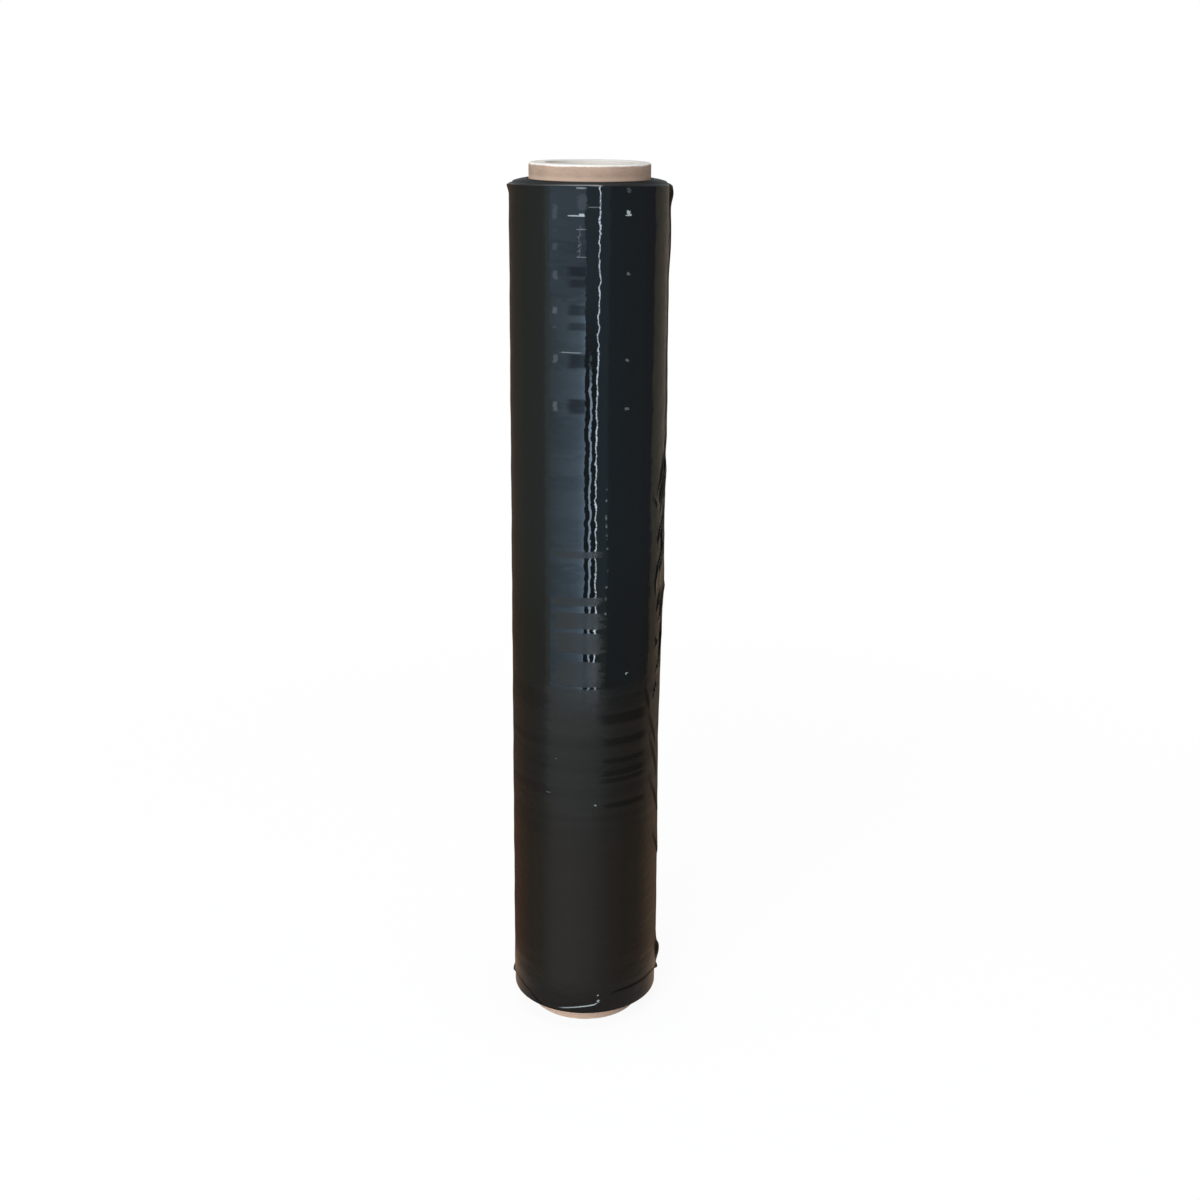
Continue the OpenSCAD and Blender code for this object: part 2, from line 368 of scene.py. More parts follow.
class FilmShape:
    """How the last turn of the film lies, by angle and by height above its lower end."""

    def __init__(self, film):
        self.film = film
        self.under = film.outer_radius - film.wrap_step
        self.low = film.low_drop + film.low_corner
        self.lip = film.low_drop + EVEN_LIP * film.wrap_lift
        self.top = film.width - film.top_drop
        self.tail_angle = math.degrees(film.tail_angle)

    def band(self, z):
        waves = sum(share * wave(z, pitch * MM, shift * MM) for share, pitch, shift in BANDS)
        return self.film.band_depth * waves

    def tail_path(self, z):
        return self.tail_angle + TAIL_SWAY * wave(z, TAIL_SWAY_PITCH * self.film.width, 30 * MM)

    def tail(self, a, z):
        body = self.film.tail_height * read_off(z / MM, TAIL)
        puffs = self.film.puff_height * read_off(z / MM, PUFFS)
        return bump(a, self.tail_path(z), TAIL_HALF_TURN) * (body + puffs)

    def waist(self, a, z):
        depth = self.film.waist * bump(z, *WAIST_HEIGHTS)
        return depth * bump(a, self.tail_angle, WAIST_HALF_TURN)

    def looseness(self, a, z):
        """How loose the film lies before the tail."""
        before = self.tail_path(z) - a
        heart = bump(z + self.film.foot, *LOOSE_HEART_HEIGHTS)
        return heart * bump(before, *LOOSE_HEART) + LOOSE_REST_SHARE * bump(before, *LOOSE_REST)

    def folds(self, a, z):
        """Laps of the loose film, by height above the floor: their height, painted shade and painted
        highlight.
        """
        highest, pinched, crests = np.zeros((3, len(a)))
        for lines, share, rise, fade, highlight_share in FOLDS:
            for line in lines:
                height, foot_shade, crest = lapped(a, z, line, rise, fade)
                highest = np.maximum(highest, share * height)
                pinched = np.maximum(pinched, share * foot_shade)
                crests = np.maximum(crests, highlight_share * crest)
        return self.film.crease_height * highest, pinched, crests * (1 - pinched)

    def seam(self, a, z):
        """Groove along the front of the tail, by height above the floor: its depth, and its painted shade."""
        heights, angles = upwards(SEAM)
        inside = eased(z, heights[0], heights[0] + SEAM_START)
        groove = inside * bump(a, np.interp(z, heights, angles), SEAM_HALF_TURN)
        return SEAM_DEPTH * groove, groove * read_off(z / MM, SEAM_SHADE)

    # Shade painted in the two pockets of the tail's puffs
    def pocket_shade(self, a, z):
        deep = sum(bump(z / MM, at, POCKET_HALF_HEIGHT) for at in POCKETS_AT)
        return POCKET_SHADE * deep * bump(a, self.tail_angle - POCKET_BEFORE_TAIL, POCKET_HALF_TURN)

    def edge_shade(self, a):
        """Where the last turn's edge stands off so far that shade is painted below it."""
        return np.maximum(eased(-a, *DARK_LEFT), eased(a, *DARK_RIGHT))

    def edge(self, a):
        """Height of the last turn's lower edge."""
        return self.film.low_drop + self.film.wrap_lift * read_off(a, EDGE)

    def ears(self, a):
        left = LEFT_EAR_SHARE * bump(a, LEFT_EAR_ANGLE, EAR_HALF_TURN)
        return self.film.ear_out * (left + bump(a, self.tail_angle, EAR_HALF_TURN))

    def upper_ear(self, a, z):
        """The ear at the upper end on the left."""
        reach = eased(z, self.top - LEFT_EAR_HEIGHT, self.top - self.film.top_corner)
        return self.film.ear_out * bump(a, LEFT_EAR_ANGLE, EAR_HALF_TURN) * reach

    def upper_rise(self, a):
        """How much higher the outer turns end than at the back."""
        front = ((1 + np.cos(np.radians(a))) / 2) ** 2
        return self.film.top_drop * self.film.front_rise * front


def dome(film, radius, drop):
    share = (radius - film.inner_radius) / (film.outer_radius - film.inner_radius)
    return drop * share ** 2


def end_rings(film, under, drop, corner):
    """Staggered turns on an end face, from the first turn outwards, as radius and depth."""
    land = film.inner_radius + RINGS_FROM
    pitch = (under - corner - land) / (RING_COUNT + 0.5)
    rings = [(film.inner_radius, film.core_gap), (film.inner_radius + FIRST_TURNS, film.core_gap)]
    for i in range(RING_COUNT):
        relief = RING_RELIEF * (0.35 + 0.65 * abs(math.sin(2.3 * i + 0.7)))
        for share, depth in RING_OUTLINE:
            radius = land + pitch * (i + share)
            rings.append((radius, dome(film, radius, drop) + depth * relief))
    return rings


def side_rows(first, last):
    """Heights of the rows up the side of the film, above the first."""
    heights = [first]
    while heights[-1] < last:
        step = [row for limit, row in ROW_HEIGHTS if heights[-1] >= limit * MM][-1]
        heights.append(heights[-1] + step * MM)
    return heights[1:-1] + [last]


def film_outline(film, shape):
    """Section of the film before its folds: under the lower end, up the side, and back in on top."""
    under, low, lip = shape.under, shape.low, shape.lip
    outline = end_rings(film, under, film.low_drop, film.low_corner)
    outline += arc(under - film.low_corner, low, film.low_corner, range(-90, 1, 30))
    for share in (0.45, 0.80, 0.87, 1.0):
        outline.append((under, low + share * (lip - LIP_UNDERSIDE - low)))
    outline.append((film.outer_radius + 0.4 * film.lip_curl, lip - LIP_CORNER))
    for share in (0.0, 0.2, 0.4, 0.7, 1.0):
        outline.append((film.outer_radius + film.lip_curl * (1 - share) ** 2, lip + share * film.lip_height))
    corner = film.top_corner
    for height in side_rows(lip + film.lip_height, shape.top - corner):
        outline.append((film.outer_radius, height))
    outline += arc(film.outer_radius - corner, shape.top - corner, corner, (20, 40, 60, 80, 90))
    for radius, depth in reversed(end_rings(film, under, film.top_drop, corner)):
        outline.append((radius, film.width - depth))
    return outline


def crinkles(a, z):
    """Small random creases, as a share of their height, for rows of angles and heights."""
    folds = [
        1 - 2 * abs(noise.noise(Vector((angle / CRINKLE_TURN, 0.0, height / CRINKLE_LENGTH))))
        for angle, height in zip(a, z)]
    return np.array(folds)


def crept(film, shape, side, z, edge):
    """Heights of the vertices once the last turn's lower edge follows its outline. The rows
    under it are stretched, and those above it settle back."""
    foot, lip = shape.low, shape.lip
    below = side & (z > foot - TINY) & (z < lip - LIP_SPLIT)
    above = side & (z >= lip - LIP_SPLIT)
    stretch = (edge - LIP_UNDERSIDE - foot) / (lip - LIP_UNDERSIDE - foot)
    settle = 1 - eased(z, lip + film.lip_height, lip + LIP_SETTLES)
    moved = np.where(below, foot + (z - foot) * stretch, z)
    return np.where(above, z + (edge - lip) * settle, moved)


def fold_film(film, shape, data):
    """Moves the film's vertices to where its last turn lies, and marks how loose it is and where
    highlight and shade are painted on it.
    """
    rows = places(data)
    x, y, z = rows[:, 0], rows[:, 1], rows[:, 2] - film.foot
    radius = np.hypot(x, y)
    a = read_off(np.degrees(np.arctan2(x, -y)), COLUMN_TURNS)
    top, lip = shape.top, shape.lip
    edge = shape.edge(a)
    side = radius > shape.under - TINY
    moved = crept(film, shape, side, z, edge)

    lift = moved - edge
    from_floor = moved + film.foot
    upper_half = z > film.width / 2
    on_side = side & (z >= lip - LIP_SPLIT) & (moved < top - film.top_corner + TINY)
    corner = upper_half & ~on_side & (radius > film.outer_radius - film.top_corner - TINY)
    loose = shape.looseness(a, moved)
    near = on_side & (loose > LEAST_LOOSE)
    crinkled = np.zeros_like(radius)
    crinkled[near] = CRINKLE_HEIGHT * loose[near] * crinkles(a[near], from_floor[near])

    # The side is folded, banded and drawn in, but not at its two ends
    middle = eased(lift, 0.3 * film.lip_height, 3 * film.lip_height)
    middle *= 1 - eased(moved, top - 12 * MM, top - 3 * MM)
    laps, lap_shade, crests = shape.folds(a, from_floor)
    seam, seam_shade = shape.seam(a, from_floor)
    folds = shape.band(moved) + laps - shape.waist(a, moved) + crinkled
    tail, upper_ear = shape.tail(a, moved), shape.upper_ear(a, moved)
    lip_share = np.clip(1 - lift / film.lip_height, 0, 1) ** 2
    curled = eased(a, *CURL[:2]) * (1 - eased(a, *CURL[2:]))
    curl = CURL_OUT * curled * np.clip(1 - lift / (0.7 * film.lip_height), 0, 1)
    ends = upper_ear + (shape.ears(a) + curl) * lip_share - seam
    out = np.where(on_side, tail + ends + folds * middle, 0)
    share = np.clip((top - moved) / film.top_corner, 0, 1)
    out += np.where(corner, share * (tail + upper_ear), 0)

    # The outer turns end higher at the front
    outer = upper_half & (radius > film.inner_radius + (FIRST_TURNS + RINGS_FROM) / 2)
    reach = np.clip(dome(film, radius, 1), 0, 1) * eased(moved, top - RISE_HEIGHT, top - film.top_corner)
    moved += np.where(outer, shape.upper_rise(a) * reach, 0)
    data.vertices.foreach_set("co", round_places(radius + out, a, moved + film.foot).ravel())
    data.update()

    # Painted highlight on the lip and fold crests; painted shade below the edge, in folds, seam and pockets
    at_lip = side & (z > lip - LIP_SPLIT) & (z < lip + LIP_HIGHLIGHT)
    under_lip = side & (lift > LIP_SHADE[0]) & (lift < LIP_SHADE[1]) & ~upper_half
    curl_highlight = at_lip * curled * (0.5 + 0.5 * eased(a, *CURL_HIGHLIGHT_SPAN))
    pinched = on_side * np.maximum(lap_shade, seam_shade) + under_lip * shape.edge_shade(a)
    marks = {
        "loose": on_side * loose,
        "whitened": curl_highlight + CREST_HIGHLIGHT * on_side * crests,
        "pinched": pinched + side * shape.pocket_shade(a, from_floor)}
    for name, share in marks.items():
        mark = data.attributes.new(name, "FLOAT", "POINT")
        mark.data.foreach_set("value", np.clip(share, 0, 1))


# Materials

class Value:
    """One output in a material. An expression on values adds the Math nodes that it needs."""

    def __init__(self, nodes, socket):
        self.nodes = nodes
        self.socket = socket

    def __add__(self, other):
        return self.nodes.math("ADD", self, other)

    def __sub__(self, other):
        return self.nodes.math("SUBTRACT", self, other)

    def __rsub__(self, other):
        return self.nodes.math("SUBTRACT", other, self)

    def __mul__(self, other):
        return self.nodes.math("MULTIPLY", self, other)

    def __truediv__(self, other):
        return self.nodes.math("DIVIDE", self, other)

    def __pow__(self, other):
        return self.nodes.math("POWER", self, other)

    __radd__ = __add__
    __rmul__ = __mul__


def solid(colour):
    """A colour with full alpha, or a linked value as it is."""
    return colour if isinstance(colour, Value) else (*colour, 1)


def scaled(colour, share):
    return tuple(share * part for part in colour)


class Nodes:
    """Adds nodes to one tree: a type, its settings, and the values or links of its inputs."""

    def __init__(self, tree):
        self.tree = tree
        tree.nodes.clear()

    def add(self, kind, settings=None, inputs=None, output=0):
        node = self.tree.nodes.new(kind)
        for name, setting in (settings or {}).items():
            if name == "stops":
                self.set_stops(node.color_ramp, setting)
            else:
                setattr(node, name, setting)
        for name, value in (inputs or {}).items():
            if isinstance(value, Value):
                self.tree.links.new(value.socket, node.inputs[name])
            else:
                node.inputs[name].default_value = value
        return Value(self, node.outputs[output]) if node.outputs else node

    def set_stops(self, ramp, stops):
        while len(ramp.elements) < len(stops):
            ramp.elements.new(1)
        for element, (place, colour) in zip(ramp.elements, stops):
            element.position = place
            element.color = (*colour, 1)

    @cached_property
    def place(self):
        return self.add("ShaderNodeTexCoord", output="Object")

    def part(self, axis):
        return self.add("ShaderNodeSeparateXYZ", None, {0: self.place}, output=axis)

    @cached_property
    def height(self):
        return self.part("Z")

    @cached_property
    def turn(self):
        """Angle round the roll, from its front."""
        return self.math("ARCTAN2", self.part("X"), 0 - self.part("Y")) * math.degrees(1)

    @cached_property
    def radius(self):
        """Distance from the roll's axis."""
        flat = self.add("ShaderNodeVectorMath", {"operation": "MULTIPLY"}, {0: self.place, 1: (1, 1, 0)})
        return self.add("ShaderNodeVectorMath", {"operation": "LENGTH"}, {0: flat}, output="Value")

    def math(self, operation, *values):
        return self.add("ShaderNodeMath", {"operation": operation}, dict(enumerate(values)))

    def more(self, first, second):
        return self.math("MAXIMUM", first, second)

    def step(self, value, low, high):
        """0 below low, 1 above high, with a smooth step between."""
        return self.add(
            "ShaderNodeMapRange", {"interpolation_type": "SMOOTHSTEP"},
            {"Value": value, "From Min": low, "From Max": high, "To Min": 0.0, "To Max": 1.0})

    def span(self, value, start, full_from, full_to, end):
        return self.step(value, start, full_from) * (1 - self.step(value, full_to, end))

    def near(self, value, at, full, end):
        """1 within one distance of a place and 0 beyond another, with a smooth step between."""
        return 1 - self.step(self.math("ABSOLUTE", value - at), full, end)

    def ramp(self, stops, at):
        return self.add("ShaderNodeValToRGB", {"stops": stops}, {"Fac": at})

    def rings(self, height, rings):
        """How far each height lies in a list of rings."""
        stops = []
        for start, full_from, full_to, end, *shares in rings:
            stops += [(start, 0.0), (full_from, shares[0]), (full_to, shares[-1]), (end, 0.0)]
        low, high = stops[0][0] * MM, stops[-1][0] * MM
        shades = [((at * MM - low) / (high - low), (share,) * 3) for at, share in dict.fromkeys(stops)]
        return self.ramp(shades, (height - low) / (high - low))

    def colour_mix(self, share, first, second, blend="MIX"):
        return self.add(
            "ShaderNodeMix", {"data_type": "RGBA", "blend_type": blend},
            {"Factor": share, 6: solid(first), 7: solid(second)}, output=2)

    def tinted(self, colour, tint):
        return self.colour_mix(1.0, colour, tint, blend="MULTIPLY")

    def noise(self, across, up, detail=2.0, roughness=0.5, distortion=0.0):
        """Noise with one size across the roll and another up it, in mm."""
        scale = (1 / (across * MM), 1 / (across * MM), 1 / (up * MM))
        stretched = self.add("ShaderNodeMapping", None, {"Vector": self.place, "Scale": scale})
        return self.add(
            "ShaderNodeTexNoise", {"noise_dimensions": "3D"},
            {"Vector": stretched, "Scale": 1.0, "Detail": detail, "Roughness": roughness,
             "Distortion": distortion})

    def fine_rings(self, pitch, detail):
        """Noise that differs only with the distance from the axis, with a size in mm."""
        return self.add(
            "ShaderNodeTexNoise", {"noise_dimensions": "1D"},
            {"W": self.radius, "Scale": 1 / (pitch * MM), "Detail": detail})

    def attribute(self, name):
        return self.add("ShaderNodeAttribute", {"attribute_name": name}, output="Fac")

    def bump(self, height):
        """A normal from a height in mm."""
        return self.add("ShaderNodeBump", None, {"Height": height, "Distance": MM, "Strength": 1.0})

    def surface(self, **inputs):
        named = {name.replace("_", " "): value for name, value in inputs.items()}
        return self.add("ShaderNodeBsdfPrincipled", None, named)

    def matt(self, colour):
        return self.add("ShaderNodeBsdfDiffuse", None, {"Color": solid(colour)})

    def glow(self, colour, strength=1.0):
        return self.add("ShaderNodeEmission", None, {"Color": solid(colour), "Strength": strength})

    def shader_mix(self, share, first, second):
        return self.add("ShaderNodeMixShader", None, {0: share, 1: first, 2: second})

    def finish(self, shader):
        self.add("ShaderNodeOutputMaterial", None, {"Surface": shader})


def new_material(name, kind=Nodes):
    material = bpy.data.materials.new(name)
    material.use_nodes = True
    return material, kind(material.node_tree)


# Rings of the film, by height in mm: where each starts, is full from and to, and ends, and its
# share, or its share at each of the two full places. Scuffed rings lie in the upper half.
SCUFFED_RINGS = (
    (386, 388, 394.5, 395.5, 0.9, 1.0), (411.5, 412.5, 419, 420, 0.9, 1.0), (432, 433, 436, 437, 0.8),
    (440, 441, 445.5, 446.5, 0.9), (455, 456, 459, 460, 0.8), (461, 462, 466, 467, 0.8))

# Hazy rings on the front of the lower half
HAZY_RINGS = (
    (226.5, 227, 242, 242.8, 1.0), (246.8, 247.4, 259.2, 259.9, 1.0), (261.7, 262.3, 271.3, 272, 1.0),
    (275.7, 276.3, 280.7, 281.2, 1.0), (304.2, 305, 308, 309, 0.8))

# Clear rings on the right of the haze below them
CLEAR_RINGS = (
    (148.5, 150, 152, 153.5, 1.0), (165.5, 167, 168.5, 169.5, 1.0), (170, 171, 173.5, 174.5, 1.0),
    (177.5, 178.5, 180.5, 182, 1.0), (188.5, 190, 193, 194.5, 1.0), (202, 204, 208.5, 210, 1.0))

# Short highlights painted on the left of the front
HIGHLIGHT_RINGS = (
    (387.5, 388.5, 392.5, 393.5, 0.9), (414, 415, 418.5, 419.5, 0.8),
    (433.2, 433.8, 433.8, 434.6, 0.4), (440.8, 441.6, 444, 445, 0.9), (459, 460, 463.5, 464.5, 0.6),
    (474.5, 475.5, 478, 479, 0.4), (484.5, 485, 485, 485.6, 0.3), (490.5, 492, 498, 499, 0.4))

# Left and right edge of these areas round the roll: from and to, and how ragged it is
SCUFFED = ((-17, -11, 5), (-2.9, -2.1, 0))
FRONT_HAZE = ((-24.5, -21.5, 16), (9, 14, 14))
CLEAR = ((8, 16, 16), (46, 58, 0))
CLOUD = ((-34, -27, 14), (0, 22, 20))
FRONT_HAZE_THINS = (-16, 4)

# Heights between which the haze of the lower half ends, and its clouds and its bands begin
HAZE_END = (223.5 * MM, 226.5 * MM)
CLOUD_START = (120 * MM, 165 * MM)
UPPER_CLOUD_START = (195 * MM, 198 * MM)
BANDS_START = (110 * MM, 160 * MM)

# The short painted highlights and a column of highlights painted as small dents: angle, and how far
# on each side they are full and end
HIGHLIGHTS_AT = (-24.2, 0.9, 2.4)
DENT_GLINTS_AT = (13.8, 0.3, 0.9)
DENT_GLINT_HEIGHTS = (235 * MM, 260 * MM, 335 * MM, 350 * MM)

# Highlights and glints painted as small spots: angle, height in mm, half their width in degrees and
# half their height in mm, and how white they are
HIGHLIGHT_SPOTS = (
    (-9, 493.0, 6, 0.4, 0.6), (-5, 493.4, 1.5, 0.8, 0.8), (-13, 420.4, 9, 0.3, 0.3),
    (27.6, 494.3, 1.5, 1.6, 0.9), (31, 233, 0.6, 0.7, 1.0), (-24, 180.5, 1.3, 0.25, 0.3),
    (-30, 158, 1.2, 0.3, 0.2), (7, 152, 0.6, 0.6, 0.6), (-6, 507.3, 3, 0.5, 0.35),
    (-5, 500, 3.5, 4.5, 0.035), (-6.8, 480, 0.5, 9, 0.12), (-6, 486, 3.5, 0.3, 0.25),
    (-5.5, 471.5, 4, 0.3, 0.2), (27.8, 506, 1.4, 1.5, 0.1), (3, 497.5, 4, 0.3, 0.2),
    (10.4, 23.7, 0.9, 0.5, 0.9), (10.7, 19.8, 0.8, 1.0, 0.7), (28, 462.5, 1.2, 0.9, 0.2),
    (28, 415.9, 1.2, 0.9, 0.2), (28, 389, 1.2, 0.9, 0.2))
HIGHLIGHT_SPOT_EDGE = (0.3, 1.2)


class FilmSide(Nodes):
    """Nodes for the side of the film, where its turns are drawn tight or lie loose."""

    def __init__(self, tree):
        super().__init__(tree)
        self.loose = self.attribute("loose")
        self.ragged = self.noise(30, 2.2) - 0.5
        self.drift = self.noise(40, 50, detail=1) - 0.5
        self.streaks = self.noise(90, 5, detail=3)
        self.at = self.height + 1.0 * MM * self.ragged + 2.5 * MM * self.drift
        self.lower = 1 - self.step(self.at, *HAZE_END)

    def beyond(self, low, high, rag):
        """0 on the left of an edge round the roll and 1 on its right."""
        return self.step(self.turn + rag * self.ragged, low, high)

    def between(self, left, right):
        return self.beyond(*left) * (1 - self.beyond(*right))

    def cloud(self):
        """The greyer part of the haze at the front of the lower half."""
        grey = 0.45 * self.step(self.at, *CLOUD_START) + 0.35 * self.step(self.at, *UPPER_CLOUD_START)
        return self.lower * self.between(*CLOUD) * grey

    def highlight_spot(self, turn, angle, at, half_turn, half_height, white):
        """One painted highlight spot, as a mask."""
        across = ((turn - angle) / half_turn) ** 4
        up = ((self.height - at * MM) / (half_height * MM)) ** 4
        return white * (1 - self.step(across + up, *HIGHLIGHT_SPOT_EDGE))

    # Highlights and glints painted into the film's colour: short marks, dents, spots, and those of lip and
    # crests
    def whitened(self):
        marks = self.rings(self.height, HIGHLIGHT_RINGS) * self.near(self.turn + 3 * self.ragged, *HIGHLIGHTS_AT)
        dent_glints = self.step(self.noise(40, 3.5, detail=1), 0.56, 0.66) * self.span(self.height, *DENT_GLINT_HEIGHTS)
        dent_glints = dent_glints * self.near(self.turn + 6 * self.drift, *DENT_GLINTS_AT)
        white = 0.11 * marks + 0.26 * dent_glints + self.attribute("whitened")
        rough_turn = self.turn + 6 * (self.noise(2, 1.2, detail=1) - 0.5)
        for values in HIGHLIGHT_SPOTS:
            white = self.more(white, self.highlight_spot(rough_turn, *values))
        return white

    def relief(self):
        """Height of the film's fine unevenness, in mm."""
        swell = self.noise(60, 22, detail=0)
        ripple = self.noise(22, 7, detail=1)
        kinks = self.noise(11, 5, detail=1.5)
        crumple = self.noise(7, 13, detail=3, roughness=0.6, distortion=0.6)
        return 0.30 * swell + 0.20 * ripple + 0.32 * kinks + 0.6 * crumple * self.loose


def film_side_material(film):
    """Black film: clear gloss, with haze and scuffed rings where a turn is not drawn tight, and with
    highlights and shade painted into it.
    """
    material, side = new_material("black_film_side", FilmSide)
    front = side.rings(side.at, HAZY_RINGS) * side.between(*FRONT_HAZE)
    clear = side.rings(side.at, CLEAR_RINGS) * side.between(*CLEAR)
    scuffed = side.rings(side.height + 0.4 * MM * side.ragged, SCUFFED_RINGS) * side.between(*SCUFFED)
    haze = side.more(front, side.lower * (1 - clear))
    roughness = 0.025 + haze * (0.20 + 0.16 * side.streaks) + 0.10 * scuffed + 0.05 * side.loose
    # The film's colour takes the painted highlights
    gloss = side.surface(
        Base_Color=side.colour_mix(side.whitened(), film.black, film.whitened), Roughness=roughness,
        Specular_IOR_Level=0.5, Normal=side.bump(side.relief()))

    # A grey veil lies over the clouded film
    cloud = side.cloud()
    clouded = side.more(front * (1 - 0.35 * side.step(side.turn, *FRONT_HAZE_THINS)), cloud)
    hazy = side.shader_mix(clouded * (0.42 + 0.36 * side.streaks), gloss, side.matt(film.veil))

    # The film mirrors less where it is scuffed or clear of the haze, and in faint bands, and it turns
    # matt black as painted shade where that shade is marked
    bands = side.step(side.noise(140, 6, detail=1), 0.45, 0.65) * side.lower
    bands = bands * side.step(side.height, *BANDS_START) * (1 - cloud)
    dulled_and_shaded = side.more(0.6 * scuffed, 0.9 * side.attribute("pinched"))
    dulled_and_shaded = side.more(dulled_and_shaded, side.more(0.45 * clear * side.lower, 0.16 * bands))
    side.finish(side.shader_mix(dulled_and_shaded, hazy, side.matt(film.black)))
    return material


def film_end_material(film):
    """Edges of the turns: fine rings, duller than the side, and matt at the front as painted shade."""
    material, nodes = new_material("black_film_ends")
    turns, spots = nodes.fine_rings(0.35, 2.0), nodes.noise(3, 3)
    edges = nodes.surface(
        Base_Color=solid(film.black), Roughness=0.30 + 0.2 * turns, Specular_IOR_Level=0.3,
        Normal=nodes.bump(0.12 * turns + 0.05 * spots))
    # Painted shade: the front of the end faces turns matt, so that it doesn't mirror the core and stays dark
    front = nodes.near(nodes.turn, 0, 35, 60)
    nodes.finish(nodes.shader_mix(0.85 * front, edges, nodes.matt(film.veil)))
    return material


# Painted light on the board: heights between which the painted light at its foot fades out, and
# distances from an end beyond which a weaker painted light comes in again
PAINTED_LIGHT_FOOT = (6 * MM, 16 * MM)
PAINTED_LIGHT_FROM_END = (5.2 * MM, 8.4 * MM)


def kraft_material(core):
    """Kraft board: fibres, plies on the cut ends, whitish worn edges, and painted light."""
    material, nodes = new_material("kraft_board")
    fibres = nodes.noise(4, 0.5, detail=4, roughness=0.65)
    blotches = nodes.noise(12, 9, detail=3)
    specks = nodes.noise(0.7, 0.5)
    frays = nodes.noise(5, 4, detail=3, roughness=0.6) - 0.5
    plies = nodes.fine_rings(0.45, 1.0)

    radius, height = nodes.radius, nodes.height
    outer = core.bore_radius + core.wall
    from_end = nodes.math("MINIMUM", height, core.length - height)
    end_face = 1 - nodes.step(from_end, 0.15 * MM, 0.45 * MM)
    worn = 1 - nodes.step(from_end + 1.8 * MM * frays, 0.4 * MM, 1.4 * MM)
    worn = worn * nodes.step(radius, outer - 1.6 * MM, outer - 0.4 * MM)
    bore = 1 - nodes.step(radius, core.bore_radius + 0.2 * MM, core.bore_radius + 0.6 * MM)
    # Painted light: full at the foot, and at a lower share away from the ends
    painted_light = nodes.more(1 - nodes.step(height, *PAINTED_LIGHT_FOOT), 0.8 * nodes.step(from_end, *PAINTED_LIGHT_FROM_END))

    grain = nodes.step(0.4 * fibres + 0.4 * blotches + 0.2 * specks, 0.34, 0.62)
    cut = nodes.colour_mix(nodes.step(plies, 0.35, 0.6), scaled(core.cut, 0.75), core.cut)
    board = nodes.colour_mix(grain, scaled(core.kraft, 0.74), core.kraft)
    # A lighter copy of the kraft paints that light on
    board = nodes.colour_mix(painted_light, board, scaled(core.kraft, 1.4))
    for share, colour in ((0.85 * end_face, cut), (0.85 * worn, core.cut), (0.8 * bore, core.cut)):
        board = nodes.colour_mix(share, board, colour)
    nodes.finish(nodes.surface(
        Base_Color=board, Roughness=0.86, Specular_IOR_Level=0.3,
        Normal=nodes.bump(0.05 * fibres + 0.10 * plies * end_face)))
    return material


# Pieces

class WRAPROLL_OT_film(bpy.types.Operator):
    """Make the wound film with its crept lower edge, its ears and its bunched tail"""

    bl_idname = "wraproll.film"
    bl_label = "Make the film"

    def execute(self, context):
        film = context.scene.wraproll_film
        shape = FilmShape(film)
        outline = [(radius, z + film.foot) for radius, z in film_outline(film, shape)]
        piece = spun_ring("wound_film", outline, film.columns)
        data = piece.data
        fold_film(film, shape, data)
        data.materials.append(film_side_material(film))
        data.materials.append(film_end_material(film))
        middle = film.foot + film.width / 2
        for face in data.polygons:
            x, y, z = face.center
            near_end = abs(z - middle) > film.width / 2 - END_HEIGHT
            inner = math.hypot(x, y) < film.outer_radius - film.top_corner
            if near_end and (inner or abs(face.normal.z) > END_FLATNESS):
                face.material_index = 1
        smooth_shade(data, FILM_SHARP_ANGLE)
        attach(piece, ROLL_BODY)
        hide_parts("film")
        return {"FINISHED"}


CORE_COLUMNS = 192
CORE_SHARP_ANGLE = 50
BORE_EDGE_RADIUS = 0.35 * MM


class WRAPROLL_OT_core(bpy.types.Operator):
    """Make the paperboard core with its rounded cut edges"""

    bl_idname = "wraproll.core"
    bl_label = "Make the core"

    def execute(self, context):
        core = context.scene.wraproll_core
        outer = core.bore_radius + core.wall
        inner_edge, outer_edge = BORE_EDGE_RADIUS, core.edge_radius
        outline = arc(core.bore_radius + inner_edge, inner_edge, inner_edge, range(180, 271, 30))
        outline += arc(outer - outer_edge, outer_edge, outer_edge, range(-90, 1, 18))
        upper = [(radius, core.length - height) for radius, height in reversed(outline)]
        piece = spun_ring("paper_core", outline + upper, CORE_COLUMNS)
        piece.data.materials.append(kraft_material(core))
        smooth_shade(piece.data, CORE_SHARP_ANGLE)
        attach(piece, ROLL_BODY)
        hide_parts("core")
        return {"FINISHED"}


# Studio

TENT_RADIUS = 0.085
TENT_TOP = 0.515
MIRROR_RADIUS = 44.8 * MM

# Panels of the cloth tent that the film mirrors, from the left rim over the front to the right
# rim: the angle on the roll that mirrors them to the front, and how bright they are
UPPER_CLOTH = (
    (-90, (0.10, 0.07, 0.05)), (-68, (0.17, 0.13, 0.10)), (-48, (0.27, 0.30, 0.25)),
    (-34, (0.36, 0.43, 0.41)), (-31, (0.58, 0.70, 0.72)), (-2.5, (0.09, 0.14, 0.18)),
    (5, (0.09, 0.14, 0.18)), (7, (0.27, 0.41, 0.50)), (13.5, (0.27, 0.41, 0.50)),
    (15, (0.17, 0.26, 0.32)), (40, (0.17, 0.22, 0.26)), (53, (0.12, 0.13, 0.15)),
    (54.5, (0.32, 0.30, 0.25)), (77, (0.34, 0.28, 0.22)), (79.5, (0.04, 0.03, 0.03)),
    (90, (0.03, 0.03, 0.02)))
